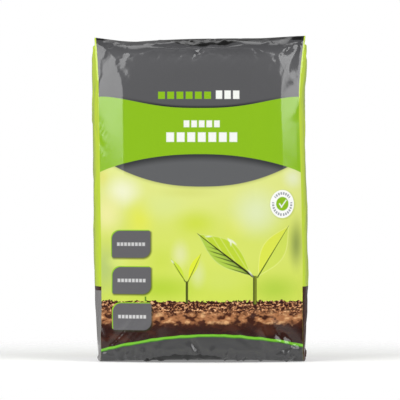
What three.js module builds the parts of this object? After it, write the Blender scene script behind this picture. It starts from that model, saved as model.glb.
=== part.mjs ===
// A full 30 litre bag of compost: one tube of printed polythene film with a gusset folded into each
// side, welded shut across both ends and standing on its bottom end. Millimetres, +Z up, the printed
// front towards -Y, the origin in the middle of the base.
//
// The bag is one closed skin, so it is one parametric surface. u runs round the bag, through the
// front panel, the right gusset, the back panel and the left gusset. v runs up the film, from the
// folded bottom weld in the middle of the base, out across the base, up the walls, over the shoulders
// and in to the top weld, whose flap is folded over to the back.
import * as THREE from "three";
import { ParametricGeometry } from "three/addons/geometries/ParametricGeometry.js";
import { mergeVertices } from "three/addons/utils/BufferGeometryUtils.js";

// Driving dimensions
const HEIGHT = 580; // base to the tips of the ears at the ends of the top weld
const PANEL_WIDTH = 374; // the front panel laid flat, which is the length of the top weld
const BODY_WIDTH = 356; // between the gusset creases of the full bag
const BASE_WIDTH = 356; // between the gusset creases at the base
const GUSSET_DEPTH = 106; // between the front and back creases of one gusset
const PANEL_BULGE = 34; // how far the front and back stand out past the creases
const SIDE_BULGE = 10; // how far a gusset stands out past its creases
const BASE_SIDE_BULGE = 4; // and how far at the base

const BASE_FILLET = 16; // where the wall turns under to the base
const WELD_SAG = 6; // the middle of the top weld is this much lower than the ears
const SHOULDER_MIDDLE = 58; // the wall starts to turn in this far below the weld, in the middle
const SHOULDER_CORNER = 104; // and this far below it at the creases
const ROOF_RISE = 11; // from the shoulder's edge up to the weld
const POCKET_DEPTH = 24; // the gusset tucks in this far under each ear
const FLAP_LENGTH = 16; // film past the top weld, folded to the back
const FLAP_THICKNESS = 1.6;
const FLAP_RISE = THREE.MathUtils.degToRad(2); // the folded flap's angle above level
const PUCKER_HEIGHT = 1.6; // gathers along the shoulder
const PUCKER_COUNT = 4.5;

// Mesh steps
const PANEL_STEPS = 32;
const GUSSET_STEPS = 8;
const AROUND = 2 * (PANEL_STEPS + GUSSET_STEPS);
const STAGES = [
  ["base", 2],
  ["fillet", 5],
  ["wall", 15],
  ["shoulder", 13],
  ["flap", 2],
  ["edge", 1],
];
const UP = STAGES.reduce((total, [, steps]) => total + steps, 0);

const FRONT = -1;
const BACK = 1;
const { lerp, smoothstep } = THREE.MathUtils;

// The bulge of a panel at s, from -1 at the left crease to 1 at the right one: flat in the middle,
// and rounded towards the creases.
const panelBulge = (s) => 1 - Math.abs(s) ** 2.6;

// How full the bag stands at height z: the belly is low, and the top is slacker.
const belly = (z) => lerp(1, 0.8, smoothstep(z, 0.4 * HEIGHT, HEIGHT));

// Half the width between the creases at height z.
const creaseHalfWidth = (z) =>
  lerp(BASE_WIDTH, BODY_WIDTH, smoothstep(z, 0, 0.25 * HEIGHT)) / 2;

// The height of the top weld at s.
const weldHeight = (s) => HEIGHT - WELD_SAG * (1 - Math.abs(s) ** 3);

// Where the wall turns in at the shoulder, at s.
const wallTop = (s) => weldHeight(s) - lerp(SHOULDER_MIDDLE, SHOULDER_CORNER, s ** 4);

// A point of the front or back panel, from the base to the wall's top. Inset is how far the film
// stands in from the wall.
function wallPoint(s, side, z, inset = 0) {
  const depth = GUSSET_DEPTH / 2 + PANEL_BULGE * belly(z) * panelBulge(s) - inset;
  return new THREE.Vector3(s * creaseHalfWidth(z), side * depth, z);
}

// The base, from the bottom weld in its middle out to the fillet.
function basePoint(s, side, share) {
  const point = wallPoint(s, side, 0, BASE_FILLET);
  point.y *= share;
  return point;
}

function filletPoint(s, side, share) {
  const turn = (share * Math.PI) / 2;
  return wallPoint(s, side, BASE_FILLET * (1 - Math.cos(turn)), BASE_FILLET * (1 - Math.sin(turn)));
}

// The film's run over the shoulder, from the wall's top to the weld: boxy in the middle of the
// panel, and a long slant along the creases, up to the ears.
function shoulderPoint(s, side, share) {
  const corner = s ** 4;
  const start = wallPoint(s, side, wallTop(s));
  const end = flapPoint(s, side, 0);
  const overWall = new THREE.Vector3(
    start.x,
    start.y * lerp(1.03, 1, corner),
    end.z - lerp(ROOF_RISE, 0.4 * SHOULDER_CORNER, corner),
  );
  const underWeld = new THREE.Vector3(
    lerp(start.x, end.x, 0.6),
    start.y * lerp(0.9, 0.55, corner),
    end.z - lerp(ROOF_RISE, 2 * ROOF_RISE, corner),
  );
  const point = new THREE.CubicBezierCurve3(start, overWall, underWeld, end).getPoint(share);
  const gather = Math.sin(Math.PI * share) ** 2 * (1 - corner);
  point.z += PUCKER_HEIGHT * gather * Math.cos(2 * Math.PI * PUCKER_COUNT * s);
  return point;
}

// The flap past the weld, folded over to the back. The film that was in front is now on top.
function flapPoint(s, side, share) {
  const across = FLAP_RISE + (Math.PI / 2) * Math.min(1, 2 * share);
  const half = (side * FLAP_THICKNESS) / 2;
  const along = FLAP_LENGTH * share;
  return new THREE.Vector3(
    (s * PANEL_WIDTH) / 2,
    along * Math.cos(FLAP_RISE) + half * Math.cos(across),
    weldHeight(s) + along * Math.sin(FLAP_RISE) - half * Math.sin(across),
  );
}

// The flap's rounded cut edge.
function edgePoint(s, side, share) {
  const tip = flapPoint(s, 0, 1 + FLAP_THICKNESS / 2 / FLAP_LENGTH);
  return flapPoint(s, side, 1).lerp(tip, share);
}

const PANEL_STAGES = {
  base: basePoint,
  fillet: filletPoint,
  wall: (s, side, share) => wallPoint(s, side, lerp(BASE_FILLET, wallTop(s), share)),
  shoulder: shoulderPoint,
  flap: flapPoint,
  edge: edgePoint,
};

// How far the middle of a gusset stands out past its creases at each stage. It is negative where
// the gusset tucks in under the ears.
const GUSSET_STAGES = {
  base: () => BASE_SIDE_BULGE,
  fillet: (share) => lerp(BASE_SIDE_BULGE, SIDE_BULGE, share),
  wall: () => SIDE_BULGE,
  shoulder: (share) =>
    lerp(SIDE_BULGE, FLAP_THICKNESS / 2, smoothstep(share, 0.4, 0.8)) -
    POCKET_DEPTH * Math.sin(Math.PI * smoothstep(share, 0.5, 1)) ** 1.5,
  flap: () => FLAP_THICKNESS / 2,
  edge: (share) => (FLAP_THICKNESS / 2) * (1 - share),
};

// A point of the left (-1) or right (1) gusset: t runs from -1 at its front crease to 1 at its back.
function gussetPoint(t, hand, stage, share) {
  const front = PANEL_STAGES[stage](hand, FRONT, share);
  const back = PANEL_STAGES[stage](hand, BACK, share);
  const point = front.lerp(back, (t + 1) / 2);
  point.x += hand * GUSSET_STAGES[stage](share) * (1 - t * t);
  return point;
}

// The skin's point at u round the bag and v up the film.
function skinPoint(u, v, target) {
  let step = Math.round(v * UP);
  let stageNumber = 0;
  while (step > STAGES[stageNumber][1]) {
    step -= STAGES[stageNumber][1];
    stageNumber += 1;
  }
  const [stage, steps] = STAGES[stageNumber];
  const share = step / steps;

  const place = Math.round(u * AROUND) % AROUND;
  const side = place < AROUND / 2 ? FRONT : BACK;
  const local = place % (AROUND / 2);
  if (local <= PANEL_STEPS) {
    const s = lerp(-1, 1, local / PANEL_STEPS);
    target.copy(PANEL_STAGES[stage](-side * s, side, share));
  } else {
    const t = lerp(-1, 1, (local - PANEL_STEPS) / GUSSET_STEPS);
    target.copy(gussetPoint(-side * t, -side, stage, share));
  }
}

function buildSkin() {
  const surface = new ParametricGeometry(skinPoint, AROUND, UP);
  surface.deleteAttribute("normal");
  surface.deleteAttribute("uv");
  return mergeVertices(surface, 1e-3);
}

const film = new THREE.MeshStandardMaterial({ color: 0x5c5c5d, roughness: 0.3, metalness: 0 });
const bag = new THREE.Mesh(buildSkin(), film);
bag.name = "compost_bag";

const part = new THREE.Group();
part.add(bag);

export default part;
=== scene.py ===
import math

import bpy
import numpy as np
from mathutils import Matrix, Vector


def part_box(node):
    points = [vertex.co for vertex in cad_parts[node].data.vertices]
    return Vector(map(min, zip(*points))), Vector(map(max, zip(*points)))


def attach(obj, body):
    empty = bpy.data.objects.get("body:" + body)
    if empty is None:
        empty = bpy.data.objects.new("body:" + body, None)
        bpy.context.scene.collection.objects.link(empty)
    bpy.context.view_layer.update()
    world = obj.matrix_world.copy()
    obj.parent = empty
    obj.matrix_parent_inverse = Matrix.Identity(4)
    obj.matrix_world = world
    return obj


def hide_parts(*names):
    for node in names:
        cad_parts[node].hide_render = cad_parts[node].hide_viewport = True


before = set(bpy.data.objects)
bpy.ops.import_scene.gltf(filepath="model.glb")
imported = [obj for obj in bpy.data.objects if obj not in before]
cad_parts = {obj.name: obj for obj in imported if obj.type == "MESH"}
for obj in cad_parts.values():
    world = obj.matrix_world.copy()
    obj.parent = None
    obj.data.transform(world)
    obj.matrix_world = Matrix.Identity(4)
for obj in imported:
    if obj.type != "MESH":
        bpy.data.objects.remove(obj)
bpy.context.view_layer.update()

NODE = "compost_bag"
low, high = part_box(NODE)

# ---------------------------------------------------------------- the bag's own dimensions
HEIGHT = high.z - 0.001  # the ears at the ends of the top weld
HALF_DEPTH = high.y  # out to the middle of the front

GUSSET_HALF = 0.053  # from the middle of a gusset to one of its creases
GUSSET_FILM = 0.060  # and the same along the film
WELD_HALF = 0.1885
PANEL_BULGE = HALF_DEPTH - GUSSET_HALF
PANEL_POWER = 2.6  # how square the front and back are in plan; 2 would be a parabola
BELLY_TOP = 0.8  # the bulge at the very top, as a share of the bulge lower down
BASE_FILLET = 0.016
BASE_LIFT = 0.005  # how far the front and back edges of the base arch up off the floor
BASE_PLEAT = 0.004  # how far the gusset's fold under the base stands off the floor
BASE_BULGE = 0.4  # a gusset's bulge at the base, as a share of its bulge above the fillet
SHOULDER_MIDDLE = 0.032  # how far below the weld the shoulder starts, in the middle
SHOULDER_CORNER = 0.104  # and at the ears
ROOF_RISE = 0.008
FLAP_LENGTH = 0.016
FLAP_GAP = 0.0016

FRONT, BACK = -1, 1
LEFT, RIGHT = -1, 1


# ---------------------------------------------------------------- shape of the film
def lerp(a, b, share):
    return a + (b - a) * share


def smooth(value, start, end):
    """A soft step from 0 at start to 1 at end."""
    share = np.clip((value - start) / (end - start), 0, 1)
    return share * share * (3 - 2 * share)


# How far out the creases of each gusset are, and how far it bulges past them: (z, metres).
CREASE_OUT = {
    LEFT: [(0, 0.179), (0.19, 0.180), (0.33, 0.182), (0.465, 0.184), (0.535, 0.184), (0.58, 0.188)],
    RIGHT: [(0, 0.186), (0.17, 0.187), (0.31, 0.184), (0.47, 0.179), (0.535, 0.182), (0.58, 0.186)],
}
BULGE_OUT = {
    LEFT: [(0, 0.003), (0.19, 0.0095), (0.33, 0.0075), (0.53, 0.0080), (0.570, 0.001)],
    RIGHT: [(0, 0.001), (0.15, 0.0045), (0.43, 0.0050), (0.53, 0.0070), (0.570, 0.001)],
}

# How far the weld is above HEIGHT, and how far it leans forward, across the bag: (s, metres).
WELD_RISE = [(-1, -0.001), (-0.75, -0.0095), (-0.27, -0.0065), (0.4, -0.0037), (1, 0.001)]
WELD_LEAN = [(-1, 0.030), (-0.65, 0), (0.65, 0), (1, 0.030)]


def curve(place, points, soften=0.02):
    """A value that follows (place, value) points, with the corners between them rounded off."""
    places, values = zip(*points)
    steps = np.linspace(-soften, soften, 5)
    return sum(np.interp(place + step, places, values) for step in steps) / len(steps)


def crease_x(hand, z):
    """Where the front and back creases of a gusset are at height z."""
    return hand * curve(z, CREASE_OUT[hand])


def panel_x(s, z):
    """Across the front or back, from its left crease at s = -1 to its right one at s = 1."""
    left, right = crease_x(LEFT, z), crease_x(RIGHT, z)
    return lerp(left, right, (s + 1) / 2)


def weld_height(s):
    return HEIGHT + curve(s, WELD_RISE, soften=0.15)


def weld_lean(s):
    return curve(s, WELD_LEAN, soften=0.15)


def base_lift(s):
    return BASE_LIFT * (1 - s * s)


def corner_share(s):
    """How far s is into an ear: 0 over most of the width and 1 at the creases."""
    return s**4


def wall_top(s):
    return weld_height(s) - lerp(SHOULDER_MIDDLE, SHOULDER_CORNER, corner_share(s))


def wall(s, side, z, inset=0.0):
    """The bulging front or back at height z. The inset takes it in towards the middle."""
    belly = lerp(1, BELLY_TOP, smooth(z, 0.4 * HEIGHT, HEIGHT))
    depth = GUSSET_HALF + PANEL_BULGE * belly * (1 - np.abs(s) ** PANEL_POWER) - inset
    return np.stack(np.broadcast_arrays(panel_x(s, z), side * depth, z), -1)


def flap(s, side, share):
    """The flap behind the weld. Its two layers turn over from upright to flat, then run back."""
    across = math.pi / 2 * min(1, 2 * share)
    along = FLAP_LENGTH * share
    y = along + side * FLAP_GAP / 2 * math.cos(across) - weld_lean(s)
    z = weld_height(s) - side * FLAP_GAP / 2 * math.sin(across)
    return np.stack(np.broadcast_arrays(s * WELD_HALF, y, z), -1)


def shoulder(s, side, share):
    """A Bezier curve from the wall to the weld, full in the middle and slanting at the ears."""
    corner = corner_share(s)[..., None]
    # The curve leaves start towards over, and reaches end from under.
    start = wall(s, side, wall_top(s))
    end = flap(s, side, 0)
    over = lerp(start, end, 0.25)
    over[..., 1:2] = start[..., 1:2] * lerp(1.03, 0.95, corner)
    over[..., 2:] = end[..., 2:] - lerp(ROOF_RISE, 0.58 * SHOULDER_CORNER, corner)
    under = lerp(start, end, 0.9)
    under[..., 1:2] = lerp(start[..., 1:2] * 0.9, lerp(end, start, 0.33)[..., 1:2], corner)
    under[..., 2:] = end[..., 2:] - lerp(ROOF_RISE, 0.26 * SHOULDER_CORNER, corner)
    rest = 1 - share
    return (
        rest**3 * start
        + 3 * rest * rest * share * over
        + 3 * rest * share * share * under
        + share**3 * end
    )


def panel(s, side, stage, share):
    """One row of the front or back, at a share of the way through a stage of the film."""
    if stage == "base":
        points = wall(s, side, share * base_lift(s), BASE_FILLET)
        points[..., 1] *= share
        return points
    if stage == "fillet":
        turn = share * math.pi / 2
        z = base_lift(s) + BASE_FILLET * (1 - math.cos(turn))
        return wall(s, side, z, BASE_FILLET * (1 - math.sin(turn)))
    if stage == "wall":
        return wall(s, side, lerp(base_lift(s) + BASE_FILLET, wall_top(s), share))
    if stage == "shoulder":
        return shoulder(s, side, share)
    return flap(s, side, share)


def gusset(t, hand, stage, share):
    """One row of a gusset, from its front crease at t = -1 to its back crease at t = 1."""
    edge = np.array([float(hand)])
    front = panel(edge, FRONT, stage, share)
    back = panel(edge, BACK, stage, share)
    points = lerp(front, back, (t[:, None] + 1) / 2)
    half = abs(back[0, 1] - front[0, 1]) / 2
    out = curve(front[0, 2], BULGE_OUT[hand]) * (1 - t * t)
    if stage == "base":
        fold = (1 - share) * (1 - np.abs(t))
        points[:, 2] += BASE_PLEAT * fold
        out = BASE_BULGE * share * out - GUSSET_HALF * fold
    elif stage == "fillet":
        out *= lerp(BASE_BULGE, 1, share)
    elif stage in ("shoulder", "flap"):
        # The gusset tucks in between the ears' two layers, as deep as its film reaches.
        tuck = smooth(share if stage == "shoulder" else 1.0, 0.8, 1.0)
        deep = math.sqrt(max(GUSSET_FILM**2 - half**2, 0)) * (1 - np.abs(t))
        inner = hand * (1 - deep / WELD_HALF)
        sag = weld_height(inner) - weld_height(edge) - 2 * FLAP_GAP * (1 - np.abs(t))
        points[:, 1] += tuck * (weld_lean(edge) - weld_lean(inner))
        points[:, 2] += tuck * sag
        out = lerp(out, -deep, tuck)
    points[:, 0] += hand * out
    return points


PANEL_STEPS = 72
GUSSET_STEPS = 22
STAGES = {"base": 6, "fillet": 5, "wall": 88, "shoulder": 27, "flap": 3}


def film_rows():
    """(stage, share) of every row of the film, from the bottom weld to the flap's edge."""
    rows = [("base", 0.0)]
    for stage, steps in STAGES.items():
        rows += [(stage, step / steps) for step in range(1, steps + 1)]
    return rows


def film_columns():
    """Places across a panel, with both its creases, and places across a gusset between them."""
    return np.linspace(-1, 1, PANEL_STEPS + 1), np.linspace(-1, 1, GUSSET_STEPS + 1)[1:-1]


def film_grid():
    """The film's points as rows by columns: the front, then the way round to the left gusset."""
    s, t = film_columns()
    points = []
    for stage, share in film_rows():
        ring = [
            panel(s, FRONT, stage, share),
            gusset(t, RIGHT, stage, share),
            panel(-s, BACK, stage, share),
            gusset(-t, LEFT, stage, share),
        ]
        points.append(np.concatenate(ring))
    return np.array(points)


def film_zones():
    """For each column, 1 on the front to 0 on the back, and how far past a crease it is.

    That distance is along the film, in metres. It is positive in a gusset and negative in a panel.
    """
    s, t = film_columns()
    front = np.concatenate([np.ones_like(s), (1 - t) / 2, np.zeros_like(s), (1 + t) / 2])
    in_panel = -(1 - np.abs(s)) * WELD_HALF
    in_gusset = (1 - np.abs(t)) * GUSSET_FILM
    return front, np.concatenate([in_panel, in_gusset] * 2)


def grid_object(name, points):
    """A mesh object of a grid of rows by columns, closed round its columns."""
    rows, columns, _ = points.shape
    index = np.arange(rows * columns).reshape(rows, columns)
    following = np.roll(index, -1, axis=1)
    quads = np.stack([index[:-1], following[:-1], following[1:], index[1:]], -1).reshape(-1, 4)
    mesh = bpy.data.meshes.new(name)
    mesh.from_pydata(points.reshape(-1, 3).tolist(), [], quads.tolist())
    grid = bpy.data.objects.new(name, mesh)
    bpy.context.scene.collection.objects.link(grid)
    return grid


def doubled(grid):
    """The grid with a new row and column between every two, on smooth curves through the old."""
    round_it = np.empty((grid.shape[0], 2 * grid.shape[1], grid.shape[2]))
    round_it[:, ::2] = grid
    near = grid + np.roll(grid, -1, axis=1)
    far = np.roll(grid, 1, axis=1) + np.roll(grid, -2, axis=1)
    round_it[:, 1::2] = (9 * near - far) / 16
    up = np.empty((2 * grid.shape[0] - 1, *round_it.shape[1:]))
    up[::2] = round_it
    padded = np.concatenate([round_it[:1], round_it, round_it[-1:]])
    up[1::2] = (9 * (padded[1:-2] + padded[2:-1]) - padded[:-3] - padded[3:]) / 16
    return up


def grid_normals(points):
    """The outward normal at each point of a grid."""
    across = np.roll(points, -1, axis=1) - np.roll(points, 1, axis=1)
    upward = np.gradient(points, axis=0)
    normals = np.cross(across, upward)
    return normals / np.maximum(np.linalg.norm(normals, axis=-1, keepdims=True), 1e-12)


def make_film():
    """The film with its folds, the place of each corner on the print, and the print's zones."""
    plain = film_grid()
    shaped = settled(plain)
    front, depth = film_zones()
    zones = np.broadcast_to(np.stack([front, depth], -1), (*plain.shape[:2], 2))
    fine = doubled(np.concatenate([shaped, plain[..., [0, 2]], zones], -1))
    points, flat, front, depth = fine[..., :3], fine[..., 3:5], fine[..., 5], fine[..., 6]
    points = wrinkled(points, flat, front)

    film = grid_object("film", points)
    mesh = film.data
    # The print follows the unwrinkled film: u is across the front and v is up it.
    print_map = mesh.uv_layers.new(name="print")
    corners = np.empty(len(mesh.loops), np.int64)
    mesh.loops.foreach_get("vertex_index", corners)
    print_map.data.foreach_set("uv", flat.reshape(-1, 2)[corners].ravel())
    for name, values in (("front", front), ("gusset", depth)):
        attribute = mesh.attributes.new(name, "FLOAT", "POINT")
        attribute.data.foreach_set("value", values.astype(np.float32).ravel())
    mesh.shade_smooth()
    return film


# ---------------------------------------------------------------- simulation
SETTLE_FRAMES = 14
WALL_HOLD = 0.10  # how firmly the simulation holds the film to its plain shape, from 0 to 1
SHOULDER_HOLD = 0.02
MOST_MOVE = 0.008  # how far the simulation may move a point of the front or the back
MOST_GUSSET_MOVE = 0.004


def film_rest(points):
    """The grid at the film's own lengths, which are a little over those of the plain shape.

    The slack is greatest near the top and the foot, where the film puckers.
    """
    rest = points.copy()
    high_up = smooth(points[..., 2], 0.46, 0.56)
    low_down = smooth(points[..., 2], 0.12, 0.0)
    rest[..., 0] *= 1.01 + 0.06 * high_up + 0.05 * low_down
    rest[..., 1] *= 1.01 + 0.02 * high_up
    rest[..., 2] *= 1.02 + 0.03 * high_up
    return rest


def hold_weights():
    """How firmly each row is held to the plain shape: the welds and the base are fixed."""
    weights = []
    for stage, share in film_rows():
        if stage in ("base", "flap"):
            weights.append(1.0)
        elif stage == "fillet":
            weights.append(lerp(1.0, WALL_HOLD, share))
        elif stage == "wall":
            weights.append(WALL_HOLD)
        elif share < 1:
            weights.append(lerp(WALL_HOLD, SHOULDER_HOLD, smooth(share, 0, 0.3)))
        else:
            weights.append(1.0)
    return np.array(weights, float)


def settled(points):
    """The film after a short cloth simulation in which the filling pushes out."""
    columns = points.shape[1]
    film = grid_object("loose_film", points)
    film.shape_key_add(name="plain")
    rest = film.shape_key_add(name="rest")
    rest.data.foreach_set("co", film_rest(points).ravel())
    group = film.vertex_groups.new(name="hold")
    for row, weight in enumerate(hold_weights()):
        group.add(list(range(row * columns, (row + 1) * columns)), float(weight), "REPLACE")

    modifier = film.modifiers.new("cloth", "CLOTH")
    modifier.collision_settings.use_collision = False
    modifier.point_cache.frame_start = 1
    modifier.point_cache.frame_end = SETTLE_FRAMES
    cloth = modifier.settings
    cloth.quality = 5
    cloth.mass = 0.1
    cloth.tension_stiffness = cloth.compression_stiffness = 30
    cloth.shear_stiffness = 15
    cloth.bending_stiffness = 0.1
    cloth.tension_damping = cloth.compression_damping = 10
    cloth.air_damping = 3.0
    cloth.vertex_group_mass = group.name
    cloth.rest_shape_key = rest
    cloth.use_pressure = True
    cloth.uniform_pressure_force = 3.0
    cloth.effector_weights.gravity = 0
    scene = bpy.context.scene
    for moment in range(1, SETTLE_FRAMES + 1):
        scene.frame_set(moment)
    shown = film.evaluated_get(bpy.context.evaluated_depsgraph_get())
    result = np.empty(points.size)
    shown.data.vertices.foreach_get("co", result)
    scene.frame_set(1)
    bpy.data.objects.remove(film)

    # Small moves are nearly kept, and large ones level off at the most that is allowed.
    move = result.reshape(points.shape) - points
    length = np.linalg.norm(move, axis=-1, keepdims=True)
    most = np.where(film_zones()[1] > 0, MOST_GUSSET_MOVE, MOST_MOVE)[:, None]
    return points + move * most / (length + most)


# ---------------------------------------------------------------- folds
# The front is flatter in its middle. How far out its sides start to turn back: (z, metres).
TURN_OUT = {
    LEFT: [(0, 0.150), (0.3, 0.134), (0.50, 0.137), (0.535, 0.155), (0.60, 0.196)],
    RIGHT: [(0, 0.160), (0.3, 0.150), (0.47, 0.143), (0.515, 0.147), (0.535, 0.161), (0.60, 0.194)],
}
TURN_HEIGHT = 0.005
TURN_SPREAD = 0.055  # how far the turn's effect reaches towards the middle


def turned_sides(flat, front):
    """The height of a soft edge down each side of the front, straight from there to the crease."""
    x, z = flat[..., 0], flat[..., 1]
    total = np.zeros(front.shape)
    for hand, points in TURN_OUT.items():
        turn = curve(z, points)
        beyond = hand * x - turn
        outside = 1 - beyond / np.maximum(hand * crease_x(hand, z) - turn, 1e-4)
        inside = 1 + beyond / TURN_SPREAD
        total += TURN_HEIGHT * np.clip(np.minimum(outside, inside), 0, 1)
    fade = smooth(z, 0.16, 0.34) * smooth(z, 0.578, 0.560)
    return total * fade * (front > 0.99)


# Folds listed for the front: both ends as (x, z), half width, and height. Those with a
# negative height go in.
FRONT_FOLDS = [
    # the V over the middle
    ((0.009, 0.568), (-0.016, 0.532), 0.008, -0.0050),
    ((-0.024, 0.562), (0.002, 0.548), 0.006, 0.0018),
    ((0.010, 0.562), (0.036, 0.566), 0.006, 0.0018),
    # the dip along the top edge
    ((-0.095, 0.5610), (0.000, 0.5620), 0.004, -0.0035),
    ((-0.020, 0.5620), (0.080, 0.5650), 0.004, -0.0035),
    # the left ear
    ((-0.176, 0.568), (-0.146, 0.560), 0.006, 0.0045),
    ((-0.166, 0.556), (-0.144, 0.568), 0.005, -0.0040),
    ((-0.162, 0.556), (-0.146, 0.528), 0.006, 0.0018),
    ((-0.146, 0.566), (-0.134, 0.534), 0.006, -0.0018),
    ((-0.128, 0.564), (-0.124, 0.540), 0.006, 0.0024),
    # the right ear
    ((0.180, 0.568), (0.146, 0.552), 0.006, 0.0048),
    ((0.164, 0.564), (0.150, 0.546), 0.005, -0.0042),
    ((0.150, 0.562), (0.136, 0.536), 0.006, 0.0018),
    ((0.140, 0.568), (0.146, 0.540), 0.005, -0.0014),
    # the V at the foot
    ((-0.014, 0.040), (0.006, 0.004), 0.006, -0.0060),
    ((-0.020, 0.036), (-0.006, 0.006), 0.009, 0.0028),
    # the right corner of the foot
    ((0.130, 0.042), (0.182, 0.018), 0.009, 0.0030),
    ((0.124, 0.010), (0.178, 0.036), 0.007, -0.0040),
    ((0.146, 0.064), (0.180, 0.026), 0.010, -0.0020),
    ((0.106, 0.080), (0.122, 0.022), 0.011, 0.0030),
    ((0.128, 0.074), (0.148, 0.028), 0.010, -0.0030),
    ((0.140, 0.004), (0.178, 0.012), 0.006, 0.0034),
    # the left corner of the foot
    ((-0.178, 0.060), (-0.158, 0.012), 0.012, 0.0022),
    ((-0.182, 0.024), (-0.140, 0.010), 0.008, -0.0026),
]


def ridge(across, along, half_width, height):
    """A crease's height: sharp along its line, and tapering to nothing at its sides and ends."""
    side = np.clip(1 - np.abs(across) / half_width, 0, None) ** 1.5
    end = np.clip(1 - (2 * along - 1) ** 2, 0, None)
    return height * side * end


def front_folds(flat, front):
    """The height of the listed folds, for each point of the film."""
    total = np.zeros(front.shape)
    for start, end, half_width, height in FRONT_FOLDS:
        way = np.subtract(end, start)
        length = np.linalg.norm(way)
        line = way / length
        away = flat - np.array(start)
        along = away @ line / length
        across = away @ np.array([-line[1], line[0]])
        total += ridge(across, along, half_width, height)
    return total * (front > 0.99)


def crease(points, normals, row, column, turn, length, half_width, height):
    """A crease's height at every point. It runs through one point of the grid, and turn is its
    angle from the film's upward direction."""
    centre, normal = points[row, column], normals[row, column]
    upward = points[row + 1, column] - points[row - 1, column]
    upward /= np.linalg.norm(upward)
    sideways = np.cross(upward, normal)
    line = upward * math.cos(turn) + sideways * math.sin(turn)
    away = points - centre
    along = away @ line / length + 0.5
    across = away @ np.cross(line, normal)
    near = np.abs(away @ normal) < 0.3 * length
    return ridge(across, along, half_width, height) * near


# Kinds of random crease: how many, the rows as shares of the way up the film, the columns as
# shares of the way round it, the most turn in degrees, lengths, half widths and the most height.
LOOSE_CREASES = [
    (70, (0.89, 0.95), (0.0, 1.0), 30, (0.012, 0.040), (0.004, 0.008), 0.0024),
    (16, (0.78, 0.90), (0.40, 0.98), 60, (0.030, 0.070), (0.006, 0.011), 0.0012),
    (90, (0.045, 0.085), (0.0, 1.0), 50, (0.010, 0.034), (0.003, 0.006), 0.0040),
    (24, (0.085, 0.16), (0.0, 1.0), 60, (0.025, 0.060), (0.006, 0.011), 0.0014),
    (26, (0.15, 0.80), (0.38, 0.50), 40, (0.050, 0.130), (0.006, 0.014), 0.0020),
    (26, (0.15, 0.80), (0.88, 1.00), 40, (0.050, 0.130), (0.006, 0.014), 0.0020),
    (30, (0.15, 0.80), (0.50, 0.88), 70, (0.060, 0.150), (0.008, 0.018), 0.0018),
]
LEAST_HEIGHT = 0.4  # of a random crease, as a share of its kind's most
HELD_BELOW = 0.04  # the share of the rows that are under the base, where there are no folds
HELD_ABOVE = 0.90  # folds fade out from here to the weld


def wrinkled(points, flat, front):
    """The film's points moved in and out by all of its folds."""
    normals = grid_normals(points)
    chance = np.random.default_rng(30)
    rows, columns = front.shape
    height = turned_sides(flat, front) + front_folds(flat, front)
    for count, up, round_it, turn, lengths, half_widths, most in LOOSE_CREASES:
        for _ in range(count):
            # The order of the draws decides where every crease falls.
            row = int(chance.uniform(*up) * rows)
            column = int(chance.uniform(*round_it) * columns) % columns
            height += crease(
                points, normals, row, column,
                math.radians(chance.uniform(-turn, turn)),
                chance.uniform(*lengths),
                chance.uniform(*half_widths),
                chance.uniform(LEAST_HEIGHT, 1) * most * chance.choice([-1, 1]),
            )
    free = np.ones(rows)
    free[: int(HELD_BELOW * rows)] = 0
    fade_from = int(HELD_ABOVE * rows)
    free[fade_from:] = np.linspace(1, 0, rows - fade_from)
    points = points + normals * (height * free[:, None])[..., None]
    points[..., 2] = np.maximum(points[..., 2], 0)  # nothing goes through the floor
    return points


# ---------------------------------------------------------------- node expressions
class Field:
    """A number that varies over the film, worked out by the nodes of one material."""

    def __init__(self, socket):
        self.socket = socket
        self.tree = socket.id_data

    def math(self, operation, *others):
        node = self.tree.nodes.new("ShaderNodeMath")
        node.operation = operation
        for place, value in enumerate((self, *others)):
            if isinstance(value, Field):
                self.tree.links.new(value.socket, node.inputs[place])
            else:
                node.inputs[place].default_value = value
        return Field(node.outputs[0])

    def __add__(self, other):
        return self.math("ADD", other)

    def __sub__(self, other):
        return self.math("SUBTRACT", other)

    def __mul__(self, other):
        return self.math("MULTIPLY", other)

    def __truediv__(self, other):
        return self.math("DIVIDE", other)

    def __pow__(self, other):
        return self.math("POWER", other)

    def __abs__(self):
        return self.math("ABSOLUTE")

    def times_plus(self, factor, added):
        return self.math("MULTIPLY_ADD", factor, added)

    def below(self, other):
        return self.math("MINIMUM", other)

    def above(self, other):
        return self.math("MAXIMUM", other)

    def ramp(self, start, end, low=0.0, high=1.0, smooth=True):
        """Low at start and before it, and high at end and past it."""
        node = self.tree.nodes.new("ShaderNodeMapRange")
        node.interpolation_type = "SMOOTHSTEP" if smooth else "LINEAR"
        node.clamp = True
        self.tree.links.new(self.socket, node.inputs["Value"])
        for name, value in (
            ("From Min", start), ("From Max", end), ("To Min", low), ("To Max", high),
        ):
            if isinstance(value, Field):
                self.tree.links.new(value.socket, node.inputs[name])
            else:
                node.inputs[name].default_value = value
        return Field(node.outputs["Result"])


def srgb(red, green, blue):
    """The linear colour of an 8-bit one."""
    def linear(value):
        value /= 255
        return value / 12.92 if value <= 0.04045 else ((value + 0.055) / 1.055) ** 2.4
    return (linear(red), linear(green), linear(blue), 1.0)


EDGE = 0.0006  # the softness of a printed edge


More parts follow.
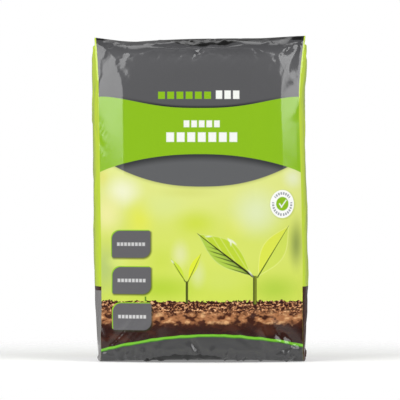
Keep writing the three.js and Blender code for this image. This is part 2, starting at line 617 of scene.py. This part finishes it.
class Print:
    """A picture built up in layers of plain shapes. Places and sizes are in metres on the film."""

    def __init__(self, tree, ground):
        self.tree = tree
        place = tree.nodes.new("ShaderNodeUVMap")
        place.uv_map = "print"
        self.place = place.outputs["UV"]
        split = tree.nodes.new("ShaderNodeSeparateXYZ")
        tree.links.new(self.place, split.inputs[0])
        self.x = Field(split.outputs["X"])
        self.z = Field(split.outputs["Y"])
        self.colour = None
        self.ground = ground

    def attribute(self, name):
        node = self.tree.nodes.new("ShaderNodeAttribute")
        node.attribute_name = name
        return Field(node.outputs["Fac"])

    def paint(self, colour, mask):
        """Lays a colour over the picture where the mask is 1."""
        node = self.tree.nodes.new("ShaderNodeMix")
        node.data_type = "RGBA"
        links = self.tree.links
        links.new(mask.socket, node.inputs["Factor"])
        # The mix node has an A and a B for each data type: 6 and 7 are the colours.
        for place, value in ((6, self.colour or self.ground), (7, colour)):
            if isinstance(value, bpy.types.NodeSocket):
                links.new(value, node.inputs[place])
            else:
                node.inputs[place].default_value = value
        self.colour = node.outputs[2]

    def local(self, x, z, width=1.0, height=1.0, turn=0.0):
        """Coordinates with their origin at (x, z), turned, in units of width and height."""
        node = self.tree.nodes.new("ShaderNodeMapping")
        node.vector_type = "TEXTURE"
        node.inputs["Location"].default_value = (x, z, 0)
        node.inputs["Rotation"].default_value = (0, 0, turn)
        node.inputs["Scale"].default_value = (width, height, 1)
        self.tree.links.new(self.place, node.inputs["Vector"])
        return node.outputs[0]

    def split(self, vector):
        node = self.tree.nodes.new("ShaderNodeSeparateXYZ")
        self.tree.links.new(vector, node.inputs[0])
        return Field(node.outputs["X"]), Field(node.outputs["Y"])

    def length(self, vector):
        node = self.tree.nodes.new("ShaderNodeVectorMath")
        node.operation = "LENGTH"
        self.tree.links.new(vector, node.inputs[0])
        return Field(node.outputs["Value"])

    def ellipse(self, x, z, half_width, half_height, blur=EDGE, turn=0.0):
        """A mask of an ellipse with a nearly sharp edge."""
        soft = blur / min(half_width, half_height)
        away = self.length(self.local(x, z, half_width, half_height, turn))
        return away.ramp(1 + soft, 1 - soft, smooth=False)

    def blob(self, x, z, half_width, half_height, strength=1.0):
        """A mask that fades from the middle of an ellipse to its edge."""
        away = self.length(self.local(x, z, half_width, half_height))
        return away.ramp(1.0, 0.0, 0.0, strength)

    def bar(self, x, z, half_width, half_height, turn=0.0, blur=EDGE):
        across, up = self.split(self.local(x, z, turn=turn))
        inside = (abs(across) - half_width).above(abs(up) - half_height)
        return inside.ramp(blur, -blur, smooth=False)

    def noise(self, scale, detail=2.0, rough=0.5, stretch=(1, 1), offset=0.0):
        node = self.tree.nodes.new("ShaderNodeTexNoise")
        node.inputs["Scale"].default_value = scale
        node.inputs["Detail"].default_value = detail
        node.inputs["Roughness"].default_value = rough
        place = self.local(offset, offset, *stretch)
        self.tree.links.new(place, node.inputs["Vector"])
        return Field(node.outputs["Fac"])


# ---------------------------------------------------------------- the bands and the ground
GREY = srgb(88, 88, 90)
FOOT_GREY = srgb(62, 62, 63)
GREEN = srgb(140, 189, 24)
LIME = srgb(190, 214, 60)
WHITE = srgb(245, 247, 242)
# Black for painted shade in the film's shadowed creases, along the weld and along the foot.
PAINTED_SHADE = srgb(10, 10, 10)

BAND_TOP = 0.4505  # the green band's top edge, in the middle of the front
ARC_TOP = 0.369  # the top of the grey lens
ARC_LOW = 0.3115  # the bottom of the lens
SOIL_TOP = 0.1095
GROUND_LINE = 0.0482  # the green line under the soil

# Out-of-focus light in the picture's background: place, half size, colour and strength.
BOKEH = [
    (-0.175, 0.330, 0.020, 0.030, (226, 224, 110), 0.7),
    (-0.136, 0.303, 0.045, 0.040, (242, 244, 208), 0.95),
    (-0.166, 0.263, 0.045, 0.050, (240, 237, 165), 0.85),
    (-0.106, 0.254, 0.036, 0.050, (226, 231, 84), 0.9),
    (-0.062, 0.277, 0.060, 0.036, (218, 230, 145), 0.6),
    (-0.021, 0.302, 0.080, 0.016, (210, 216, 110), 0.5),
    (-0.007, 0.247, 0.055, 0.034, (204, 220, 66), 0.85),
    (0.067, 0.243, 0.036, 0.030, (224, 230, 100), 0.6),
    (0.099, 0.267, 0.062, 0.060, (224, 234, 184), 0.95),
    (0.164, 0.327, 0.026, 0.026, (230, 236, 200), 0.8),
    (-0.069, 0.180, 0.045, 0.045, (198, 217, 72), 0.6),
    (-0.069, 0.132, 0.090, 0.034, (176, 205, 54), 0.85),
    (-0.170, 0.166, 0.040, 0.070, (176, 197, 114), 0.85),
    (-0.145, 0.178, 0.030, 0.018, (220, 234, 125), 0.6),
    (0.132, 0.130, 0.060, 0.036, (174, 203, 66), 0.85),
    (0.039, 0.145, 0.060, 0.030, (208, 222, 108), 0.5),
    (-0.035, 0.192, 0.022, 0.034, (224, 228, 170), 0.8),
    (-0.004, 0.157, 0.020, 0.034, (216, 224, 160), 0.7),
    (0.171, 0.210, 0.020, 0.060, (138, 154, 76), 0.9),
]


def away_from(sheet, middle, half_width, power):
    """0 at the middle and 1 at half_width from it, to either side."""
    return (abs(sheet.x - middle) / half_width) ** power


def edge_curves(sheet):
    """The print's long curved edges, as heights across the front. Each is a height in its middle
    and a rise or, when it is negative, a fall to its ends.
    """
    top = away_from(sheet, 0.0, 0.178, 1.4).ramp(0, 1).times_plus(0.021, BAND_TOP)
    arc = away_from(sheet, 0.0, 0.178, 2.2).times_plus(-0.031, ARC_TOP)
    low = away_from(sheet, 0.003, 0.150, 2.3).times_plus(0.0345, ARC_LOW)
    ground = away_from(sheet, 0.020, 0.177, 2.0).times_plus(-0.0231, GROUND_LINE)
    return top, arc, low, ground


def paint_background(sheet):
    """The pale, out-of-focus field behind the seedlings."""
    sheet.paint(srgb(224, 231, 136), sheet.z.ramp(0.22, 0.31))
    sheet.paint(srgb(203, 219, 86), sheet.z.ramp(0.19, 0.12))
    for x, z, half_width, half_height, colour, strength in BOKEH:
        sheet.paint(srgb(*colour), sheet.blob(x, z, half_width, half_height, strength))


def paint_soil(sheet):
    """Rough, sharp crumbs along the top of the soil, soft clods under them, then dark earth."""
    top = sheet.noise(150, 3, 0.65).times_plus(0.018, SOIL_TOP - 0.009)
    depth = top - sheet.z
    soil = depth.ramp(0, 0.0008, smooth=False)

    sheet.paint(srgb(40, 8, 1), soil)
    clods = sheet.noise(60, 2, 0.5, stretch=(2.0, 1), offset=0.3)
    sheet.paint(srgb(66, 28, 12), clods.ramp(0.45, 0.7) * soil)
    sheet.paint(srgb(98, 50, 26), depth.ramp(0.055, 0.040) * soil * 0.2)

    lumps = sheet.noise(85, 2, 0.5, stretch=(1.7, 1), offset=0.1)
    band = depth.ramp(0.010, 0.018) * depth.ramp(0.044, 0.034)
    sheet.paint(srgb(168, 112, 72), lumps.ramp(0.40, 0.52) * band)
    sheet.paint(srgb(222, 172, 122), lumps.ramp(0.54, 0.66) * band)

    crumbs = sheet.noise(240, 3, 0.7, stretch=(1.5, 1), offset=0.7)
    rough = depth.ramp(0.030, 0.014) * soil
    sheet.paint(srgb(50, 18, 14), crumbs.ramp(0.56, 0.50) * rough * 0.9)
    sheet.paint(srgb(190, 128, 84), crumbs.ramp(0.50, 0.56) * rough)
    sheet.paint(srgb(244, 204, 158), crumbs.ramp(0.57, 0.66) * rough)
    rim = depth.ramp(0.005, 0.001) * soil
    sheet.paint(srgb(50, 18, 14), crumbs.ramp(0.60, 0.54) * rim)


CREASE_SHADE_CORE = 0.020  # half the width over which a painted crease shadow is at its deepest


def ragged_line(sheet, middle, reach, far_z, near_z, unevenness, offset):
    """The uneven edge of a painted crease shadow: at near_z around its middle, and at far_z out at
    reach.
    """
    ragged = sheet.noise(70, 3, 0.6, stretch=(1.6, 1), offset=offset)
    line = abs(sheet.x - middle).ramp(reach, CREASE_SHADE_CORE, far_z, near_z)
    return line + ragged.times_plus(2 * unevenness, -unevenness)


def paint_foot(sheet, ground):
    """The green line under the soil, the grey foot below it, and painted shade along its bottom
    edge for the shadowed creases there.
    """
    wobble = sheet.noise(38, 1, 0.5, offset=0.5).times_plus(0.004, -0.002)
    above = sheet.z - (ground + wobble)
    sheet.paint(FOOT_GREY, above.ramp(0.0004, -0.0004, smooth=False))
    line = abs(above).ramp(0.0032, 0.0026, smooth=False)
    sheet.paint(srgb(58, 116, 22), line)
    sheet.paint(srgb(112, 184, 40), abs(above - 0.0006).ramp(0.0026, 0.0012) * line)
    # Painted shade: black below a ragged line along the bottom edge, for the shadow where the film
    # curls under.
    crease_shade = ragged_line(sheet, -0.020, 0.120, 0.0, 0.0140, 0.005, offset=0.2)
    sheet.paint(PAINTED_SHADE, (crease_shade - sheet.z).ramp(-EDGE, EDGE))


def paint_bands(sheet):
    """All of the print that the front and the back share, with the painted shade along the weld and
    the foot.
    """
    top, arc, low, ground = edge_curves(sheet)
    paint_background(sheet)
    paint_soil(sheet)
    paint_foot(sheet, ground)

    # The grey lens: its shadow on the field, the lens, and the green band's shadow on it.
    under_lens = low - sheet.z
    shade = under_lens.ramp(0.007, -0.001, 0, 0.35) * (sheet.z - 0.29).ramp(0, 0.01)
    sheet.paint(srgb(120, 130, 60), shade)
    in_lens = under_lens.ramp(EDGE, -EDGE, smooth=False)
    sheet.paint(srgb(96, 97, 99), in_lens)
    sheet.paint(srgb(42, 44, 44), (arc - sheet.z).ramp(0.016, 0.0, 0, 0.85) * in_lens)
    sheet.paint(GREEN, (sheet.z - arc).ramp(-EDGE, EDGE, smooth=False))

    # The grey top with painted shade: darker towards the weld, a painted shadow for the dark crease
    # there, and a shadow at its foot.
    above_band = sheet.z - top
    sheet.paint(GREY, above_band.ramp(-EDGE, EDGE, smooth=False))
    # Painted shade: the grey darkens towards the weld, where the film turns up away from the
    # lights.
    sheet.paint(srgb(68, 68, 70), sheet.z.ramp(0.535, 0.570))
    # Painted shade: black above a ragged line under the weld, for the shadowed gap where the front
    # film puckers.
    crease_shade = ragged_line(sheet, 0.006, 0.130, 0.573, 0.5645, 0.003, offset=0.9)
    sheet.paint(PAINTED_SHADE, (sheet.z - crease_shade).ramp(-EDGE, EDGE))
    line = above_band.ramp(0.006, 0.0, 0, 0.9) * above_band.ramp(-EDGE, EDGE)
    sheet.paint(srgb(24, 24, 22), line * abs(sheet.x).ramp(0.175, 0.06))


# ---------------------------------------------------------------- the figures on the front
# Drops of light on the leaves: place, half size and turn.
GLINTS = [
    (0.0150, 0.2235, 0.0034, 0.0010, 0.0),
    (0.0520, 0.2165, 0.0036, 0.0014, -0.9),
    (0.0590, 0.2135, 0.0050, 0.0013, -0.7),
    (0.0545, 0.2120, 0.0010, 0.0034, 0.0),
    (0.0890, 0.1585, 0.0040, 0.0008, -0.9),
    (-0.0485, 0.1790, 0.0022, 0.0008, -0.9),
]


def paint_leaf(sheet, base, tip, half_width, lean, near, far, rib, rib_width, pale_edge, veins):
    """A leaf from base to tip. Near is the colour to the left of its rib, and a positive lean
    widens that side and narrows the other.

    Along the leaf t goes from 0 to 1, and w is 0 on the rib and 1 at half_width to its left.
    """
    along = Vector(tip) - Vector(base)
    turn = math.atan2(along.y, along.x)
    place, w = sheet.split(sheet.local(*base, along.length, half_width, turn))
    t = place.above(0.0).below(1.0)
    outline = (t * math.pi).math("SINE") ** 1.25
    outline = outline * w.ramp(-0.01, 0.01, 1 - lean, 1 + lean, smooth=False)
    inside_by = outline - abs(w)
    soft = EDGE / half_width
    inside = inside_by.ramp(0.0, 2 * soft, smooth=False)
    on_near = w.ramp(0.0, soft, smooth=False)
    sheet.paint(far, inside)
    sheet.paint(near, on_near * inside)
    sheet.paint(srgb(234, 240, 150), inside_by.ramp(0.14, 0.0) * inside * pale_edge)
    if veins:
        phase = (abs(w) * -0.5 + t) * 44.0
        lower = t.ramp(0.80, 0.60) * abs(w).ramp(0.75, 0.30) * on_near * inside
        shade = abs(w).ramp(0.45, 0.0) * t.ramp(0.75, 0.35) * on_near * inside
        sheet.paint(srgb(112, 138, 56), shade * 0.7)
        sheet.paint(srgb(56, 74, 26), phase.math("SINE").ramp(0.2, 0.9) * lower * veins)
        light = (phase * 0.6).math("SINE").ramp(0.6, 1.0) * (inside - on_near).above(0.0)
        sheet.paint(srgb(226, 236, 140), light * 0.35)
    thin = (t * -0.75).math("ADD", 1.0) * rib_width
    stalk = place.ramp(0.0, 0.005) * t.ramp(0.12, 0.10)
    sheet.paint(rib, (thin - abs(w)).ramp(-soft, soft) * inside.above(stalk))


def paint_stem(sheet, x, low, high, half_width, colour, dark):
    """An upright stem with dark edges, lit a little to the right of its middle."""
    middle = (low + high) / 2
    half_height = (high - low) / 2
    sheet.paint(dark, sheet.bar(x, middle, half_width, half_height))
    lit_x = x + 0.25 * half_width
    sheet.paint(colour, sheet.bar(lit_x, middle, 0.55 * half_width, half_height, blur=0.0012))


def paint_seedlings(sheet):
    paint_leaf(
        sheet, (0.0945, 0.1520), (-0.0070, 0.2305), 0.0235, -0.12,
        near=srgb(172, 202, 72), far=srgb(188, 212, 54), rib=srgb(46, 50, 16), rib_width=0.085,
        pale_edge=0.8, veins=0.8,
    )
    paint_leaf(
        sheet, (0.1010, 0.1500), (0.1585, 0.2450), 0.0215, 0.0,
        near=srgb(218, 228, 78), far=srgb(206, 222, 90), rib=srgb(90, 110, 30), rib_width=0.06,
        pale_edge=0.9, veins=0.0,
    )
    paint_stem(sheet, 0.0970, 0.104, 0.1535, 0.0032, srgb(120, 130, 40), srgb(58, 66, 14))
    paint_leaf(
        sheet, (-0.0255, 0.1430), (-0.0525, 0.1860), 0.0050, -0.4,
        near=srgb(196, 216, 70), far=srgb(200, 222, 60), rib=srgb(92, 110, 40), rib_width=0.2,
        pale_edge=0.3, veins=0.0,
    )
    paint_leaf(
        sheet, (-0.0215, 0.1430), (0.0035, 0.1960), 0.0068, 0.3,
        near=srgb(222, 232, 56), far=srgb(216, 228, 70), rib=srgb(110, 128, 40), rib_width=0.15,
        pale_edge=0.3, veins=0.0,
    )
    paint_stem(sheet, -0.0232, 0.106, 0.1440, 0.0020, srgb(86, 96, 30), srgb(48, 58, 14))
    paint_stem(sheet, -0.0965, 0.109, 0.117, 0.0012, srgb(96, 146, 34), srgb(70, 110, 24))
    for x, z, half_width, half_height, turn in GLINTS:
        sheet.paint(WHITE, sheet.ellipse(x, z, half_width, half_height, 0.0012, turn) * 0.85)


TAG_X, TAG_Z = -0.1212, 0.1455  # the middle tag
TAG_HALF = (0.0343, 0.0238)
TAG_PITCH = 0.0642
TAG_DRIFT = 0.0009  # each tag down is a little further right


def tag_distance(sheet, x, z):
    """How far outside the nearest tag, and the place in it. (x, z) is where the middle tag is.

    Two opposite corners of a tag are well rounded, and the other two are nearly sharp.
    """
    number = ((sheet.z - z) / TAG_PITCH).math("ROUND").above(-1.0).below(1.0)
    up = sheet.z - z - number * TAG_PITCH
    across = sheet.x - x + number * TAG_DRIFT
    round_corner = (across * up).ramp(1e-6, -1e-6, 0.0025, 0.0150, smooth=False)
    over = (abs(across) + round_corner) - TAG_HALF[0]
    past = (abs(up) + round_corner) - TAG_HALF[1]
    corner = (over.above(0.0) ** 2.0 + past.above(0.0) ** 2.0).math("SQRT")
    return corner + over.above(past).below(0.0) - round_corner, across, up


def paint_tags(sheet):
    glow, _, _ = tag_distance(sheet, TAG_X - 0.0014, TAG_Z + 0.0014)
    sheet.paint(srgb(150, 206, 40), glow.ramp(0.0008, -0.0004))
    shadow, _, _ = tag_distance(sheet, TAG_X + 0.0014, TAG_Z - 0.0016)
    sheet.paint(srgb(40, 44, 24), shadow.ramp(0.0034, -0.0014) * 0.8)
    away, across, up = tag_distance(sheet, TAG_X, TAG_Z)
    sheet.paint(srgb(99, 98, 101), away.ramp(EDGE, -EDGE, smooth=False))
    marks = greeked(across, up, -0.0256, 0.0, 8, 0.0064, 0.0030)
    sheet.paint(srgb(226, 226, 226), marks * 0.75)


BLOCK_GAP = 0.13  # from a block to the edge of its share of the row, in shares


def greeked(x, z, left, middle, count, width, half_height):
    """A mask of a row of plain blocks, in the place of a line of text."""
    number = (x - left) / width
    gap = number.math("PINGPONG", 0.5).times_plus(-1.0, BLOCK_GAP)
    past = abs(number - count / 2) - count / 2
    out = (gap.above(past) * width).above(abs(z - middle) - half_height)
    return out.ramp(EDGE, -EDGE, smooth=False)


# Rows of blocks: colour, left end, middle height, how many, the share of each, and half height.
WORDS = [
    (GREEN, -0.0763, 0.4730, 6, 0.0163, 0.0064),
    (WHITE, 0.0260, 0.4740, 3, 0.0152, 0.0074),
    (WHITE, -0.0305, 0.4225, 5, 0.0134, 0.0060),
    (WHITE, -0.0620, 0.3990, 7, 0.0186, 0.0084),
]


def paint_words(sheet):
    for colour, *row in WORDS:
        sheet.paint(colour, greeked(sheet.x, sheet.z, *row))


BADGE_X, BADGE_Z = 0.1450, 0.2808
BADGE_HALF = (0.0212, 0.0248)


def paint_badge(sheet):
    """A white disc with a soft shadow, a tick on green in its middle, and dashes for its words."""
    x, z = BADGE_X, BADGE_Z
    shadow_half = [half + 0.001 for half in BADGE_HALF]
    shadow = sheet.ellipse(x + 0.001, z - 0.001, *shadow_half, blur=0.002)
    sheet.paint(srgb(130, 150, 60), shadow * 0.35)
    sheet.paint(srgb(252, 253, 250), sheet.ellipse(x, z, *BADGE_HALF))
    sheet.paint(GREEN, sheet.ellipse(x, z + 0.0004, 0.0110, 0.0122))
    across, up = sheet.split(sheet.local(x, z, *BADGE_HALF))
    round_it = across.math("ARCTAN2", up)
    radius = (across**2.0 + up**2.0).math("SQRT")
    ring = abs(radius - 0.76).ramp(0.12, 0.07)
    cut = (round_it.math("PINGPONG", 0.13) - 0.045).ramp(-0.02, 0.02)
    aside = abs(abs(round_it) - 1.17).ramp(0.22, 0.26)
    sheet.paint(srgb(110, 116, 132), ring * cut * aside * 0.75)
    sheet.paint(WHITE, sheet.bar(x - 0.0030, z - 0.0024, 0.0042, 0.0011, -0.95))
    sheet.paint(WHITE, sheet.bar(x + 0.0022, z + 0.0006, 0.0082, 0.0010, 0.98))


SIDE_OVERLAP = 0.003  # how far a gusset's colour comes round onto the front and the back
SIDE_FOOT = 0.1342  # the top of the brown foot on the gussets
LEFT_SIDE_FOOT = 0.1270  # the top of the grey over it, on the left


def paint_sides(sheet):
    """Lime gussets with a brown foot, which is grey on the left."""
    past = sheet.attribute("gusset")
    side = past.ramp(-SIDE_OVERLAP - EDGE / 2, -SIDE_OVERLAP + EDGE / 2, smooth=False)
    left = sheet.x.ramp(0.0001, -0.0001, smooth=False)
    sheet.paint(LIME, side)
    sheet.paint(srgb(58, 32, 26), sheet.z.ramp(SIDE_FOOT + 0.0004, SIDE_FOOT - 0.0004) * side)
    grey = sheet.z.ramp(LEFT_SIDE_FOOT + 0.0005, LEFT_SIDE_FOOT - 0.0005) * left
    sheet.paint(srgb(126, 124, 124), grey * side)


def film_material():
    """Glossy printed polythene, with a faint unevenness of its own."""
    material = bpy.data.materials.new("printed_film")
    material.use_nodes = True
    tree = material.node_tree
    shader = tree.nodes["Principled BSDF"]

    sheet = Print(tree, srgb(213, 225, 104))
    paint_bands(sheet)
    plain = sheet.colour
    paint_seedlings(sheet)
    paint_tags(sheet)
    paint_badge(sheet)
    paint_words(sheet)
    sheet.paint(plain, sheet.attribute("front").ramp(0.6, 0.4, smooth=False))
    paint_sides(sheet)

    body = tree.nodes.new("ShaderNodeTexCoord").outputs["Object"]
    fine = tree.nodes.new("ShaderNodeTexNoise")
    fine.inputs["Scale"].default_value = 38.0
    fine.inputs["Detail"].default_value = 3.0
    tree.links.new(body, fine.inputs["Vector"])
    bump = tree.nodes.new("ShaderNodeBump")
    bump.inputs["Distance"].default_value = 0.0004
    bump.inputs["Strength"].default_value = 0.4
    tree.links.new(fine.outputs["Fac"], bump.inputs["Height"])
    tree.links.new(bump.outputs["Normal"], shader.inputs["Normal"])

    rough = Field(fine.outputs["Fac"]).ramp(0.3, 0.7, 0.13, 0.19)
    tree.links.new(sheet.colour, shader.inputs["Base Color"])
    tree.links.new(rough.socket, shader.inputs["Roughness"])
    shader.inputs["IOR"].default_value = 1.5
    return material


# ---------------------------------------------------------------- the scene
CAMERA_DISTANCE = 5.0  # from the front of the bag
VIEW_WIDTH = 0.7064  # what the picture takes in there
VIEW_MIDDLE = Vector((0.0, -HALF_DEPTH, 0.2878))


def add_camera():
    """Level, square to the front and far off, so the bag's sides hardly show."""
    data = bpy.data.cameras.new("camera")
    data.sensor_width = 36.0
    data.lens = data.sensor_width * CAMERA_DISTANCE / VIEW_WIDTH
    camera = bpy.data.objects.new("camera", data)
    camera.location = VIEW_MIDDLE + Vector((0, -CAMERA_DISTANCE, 0))
    camera.rotation_euler = (math.pi / 2, 0, 0)
    bpy.context.scene.collection.objects.link(camera)
    bpy.context.scene.camera = camera


def add_softbox(name, azimuth, distance, middle_z, target_z, width, height, radiance):
    """A soft rectangular light that faces the bag's axis at target_z.

    Azimuth is in degrees from the camera's side, to the right.
    """
    data = bpy.data.lights.new(name, "AREA")
    data.shape = "RECTANGLE"
    data.size, data.size_y = width, height
    data.energy = radiance * math.pi * width * height
    light = bpy.data.objects.new(name, data)
    turn = math.radians(azimuth)
    light.location = (distance * math.sin(turn), -distance * math.cos(turn), middle_z)
    aim = Vector((0, 0, target_z)) - light.location
    light.rotation_euler = aim.to_track_quat("-Z", "Y").to_euler()
    bpy.context.scene.collection.objects.link(light)


def add_lights():
    """Two tall boxes that show as highlights down the sides of the front, and two weak fills."""
    for name, *settings in (
        # azimuth, distance, middle_z, target_z, width, height, radiance
        ("left_box", -58, 2.6, 1.90, 1.90, 2.3, 2.9, 4.3),
        ("right_box", 57, 2.6, 1.88, 1.88, 2.0, 2.6, 4.9),
        ("overhead", 0, 1.6, 3.0, 0.3, 2.4, 1.0, 0.4),
        ("back_fill", 180, 2.0, 3.2, 0.3, 2.4, 1.2, 1.2),
    ):
        add_softbox(name, *settings)


def add_world():
    """White to the camera, but dim as a light, so that the dark print stays dark."""
    world = bpy.data.worlds.new("studio")
    world.use_nodes = True
    tree = world.node_tree
    background = tree.nodes["Background"]
    background.inputs["Color"].default_value = (1, 1, 1, 1)
    seen = tree.nodes.new("ShaderNodeLightPath").outputs["Is Camera Ray"]
    strength = Field(seen).ramp(0, 1, low=0.2, high=1.0, smooth=False)
    tree.links.new(strength.socket, background.inputs["Strength"])
    bpy.context.scene.world = world


FLOOR_RADIUS = 0.9


def add_floor():
    """A pale round floor that fades out into the pale background."""
    bpy.ops.mesh.primitive_circle_add(vertices=96, radius=FLOOR_RADIUS, fill_type="NGON")
    floor = bpy.context.object
    floor.name = "floor"
    material = bpy.data.materials.new("floor")
    material.use_nodes = True
    tree = material.node_tree
    shader = tree.nodes["Principled BSDF"]
    shader.inputs["Base Color"].default_value = (0.85, 0.85, 0.85, 1)
    shader.inputs["Emission Color"].default_value = (1, 1, 1, 1)
    shader.inputs["Emission Strength"].default_value = 0.25
    shader.inputs["Roughness"].default_value = 0.9
    shader.inputs["Specular IOR Level"].default_value = 0.0
    length = tree.nodes.new("ShaderNodeVectorMath")
    length.operation = "LENGTH"
    tree.links.new(tree.nodes.new("ShaderNodeTexCoord").outputs["Object"], length.inputs[0])
    fade = Field(length.outputs["Value"]).ramp(0.97 * FLOOR_RADIUS, 0.3 * FLOOR_RADIUS)
    tree.links.new(fade.socket, shader.inputs["Alpha"])
    floor.data.materials.append(material)


def main():
    film = make_film()
    film.data.materials.append(film_material())
    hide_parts(NODE)
    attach(film, "root")

    add_camera()
    add_lights()
    add_world()
    add_floor()
    bpy.context.scene.view_settings.view_transform = "Standard"


main()
